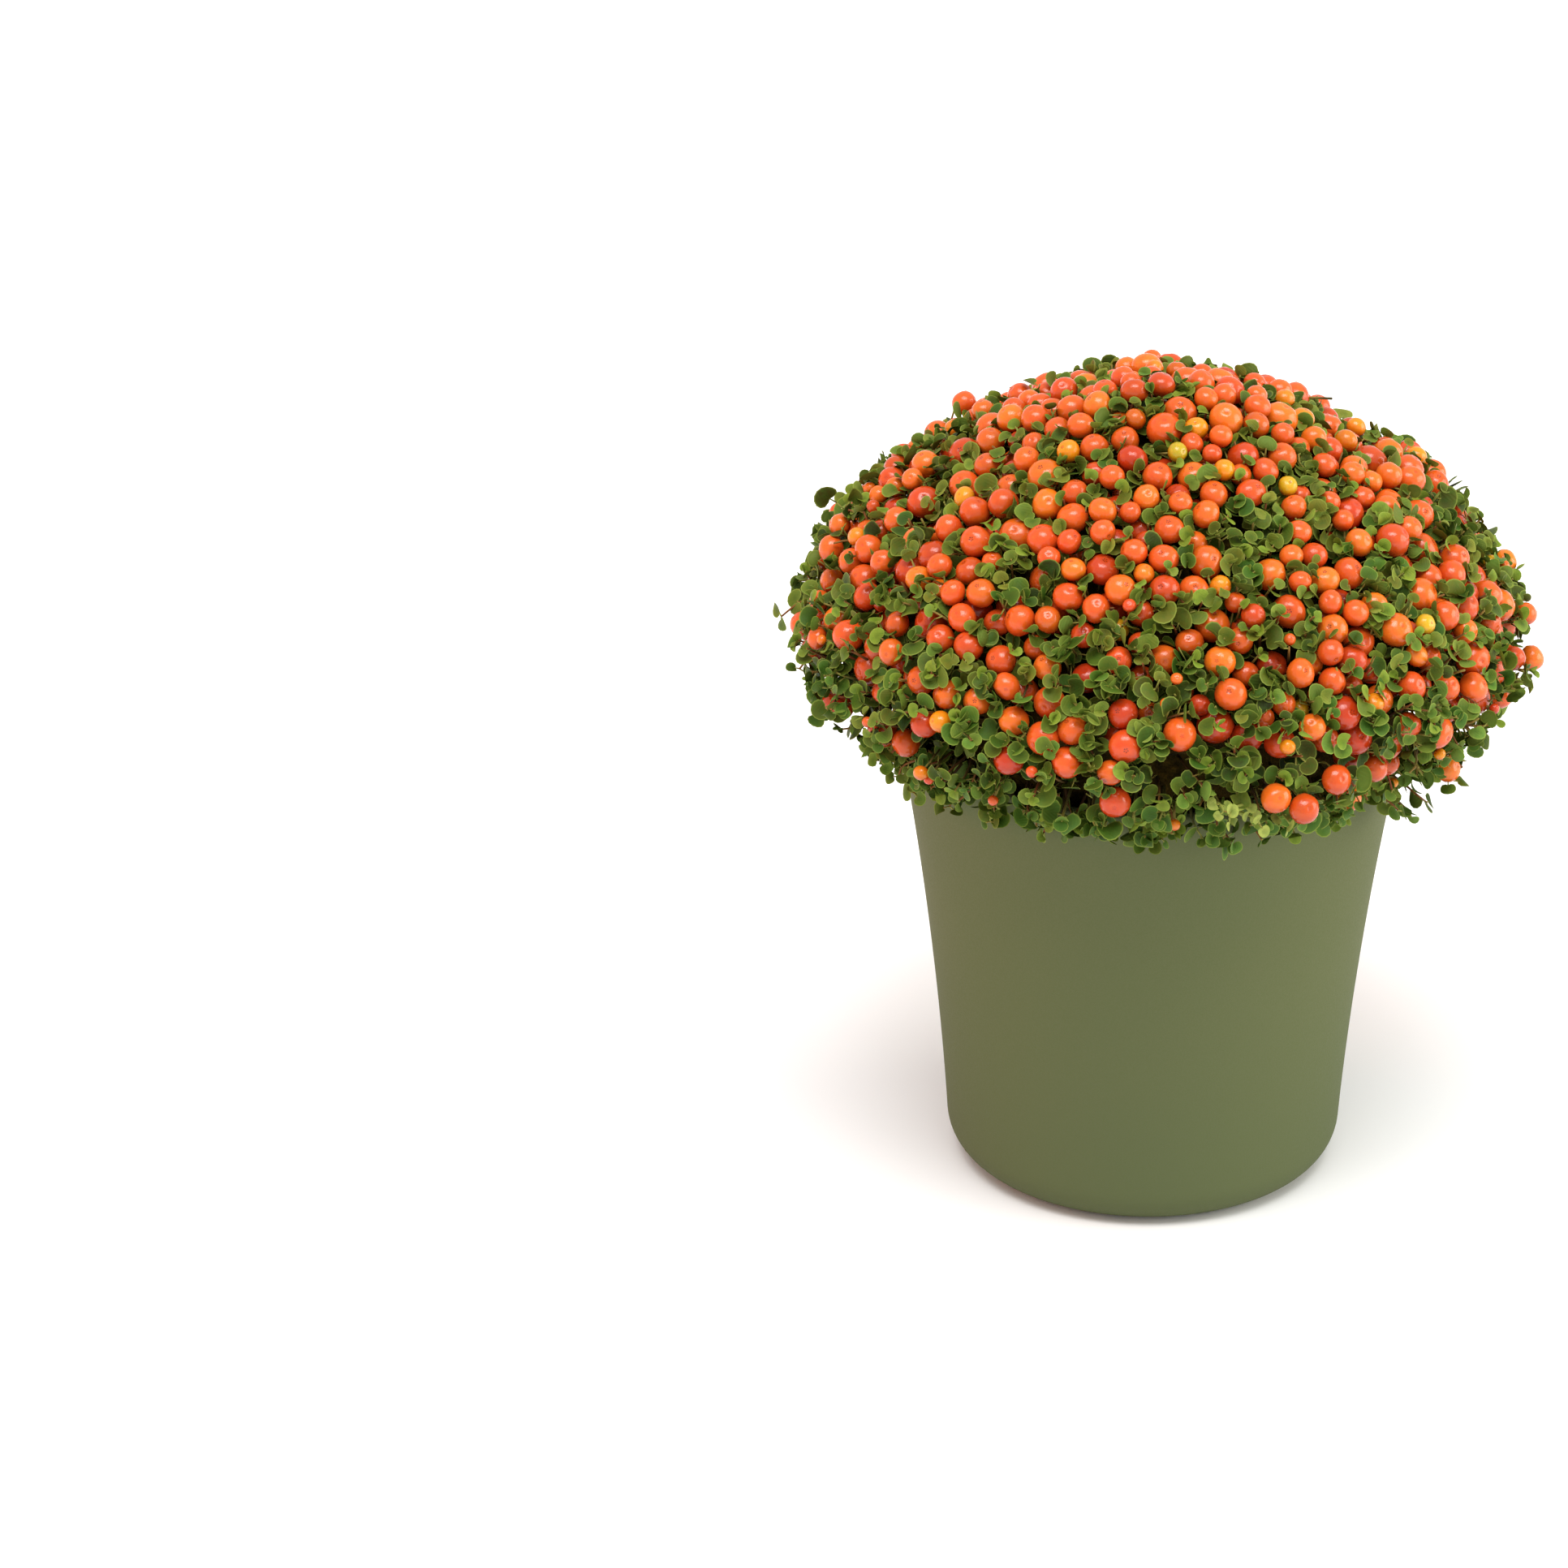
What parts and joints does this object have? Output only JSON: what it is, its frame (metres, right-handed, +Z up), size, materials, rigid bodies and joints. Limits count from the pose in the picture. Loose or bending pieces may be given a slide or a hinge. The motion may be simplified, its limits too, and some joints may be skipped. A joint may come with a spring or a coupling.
{
  "type": "potted coral bead plant",
  "caption": "Low rounded cushion of small round leaves and orange bead-like berries, growing over the rim of a plain round pot with a flat foot.",
  "frame": {"origin": "middle of the pot's flat foot, on the surface it stands on", "axes": "+Z up along the pot's axis, -Y towards the side that is seen first, +X to the right of it"},
  "size_m": [0.1916, 0.1883, 0.2074],
  "materials": {
    "pot": "matt olive green, very fine mottling",
    "soil": "rough, crumbly, damp potting soil",
    "leaf": "soft, half matt leaf with a paler margin",
    "berry": "smooth, glossy, slightly translucent skin",
    "stem": "thin, soft, half matt stem"
  },
  "bodies": {
    "root": {"pot": "pot", "soil": "soil", "crown_tuft": "leaf", "ring_tuft_1": "leaf", "ring_tuft_2": "leaf", "ring_tuft_3": "leaf", "ring_tuft_4": "leaf", "ring_tuft_5": "leaf", "ring_tuft_6": "leaf"}
  },
  "joints": []
}
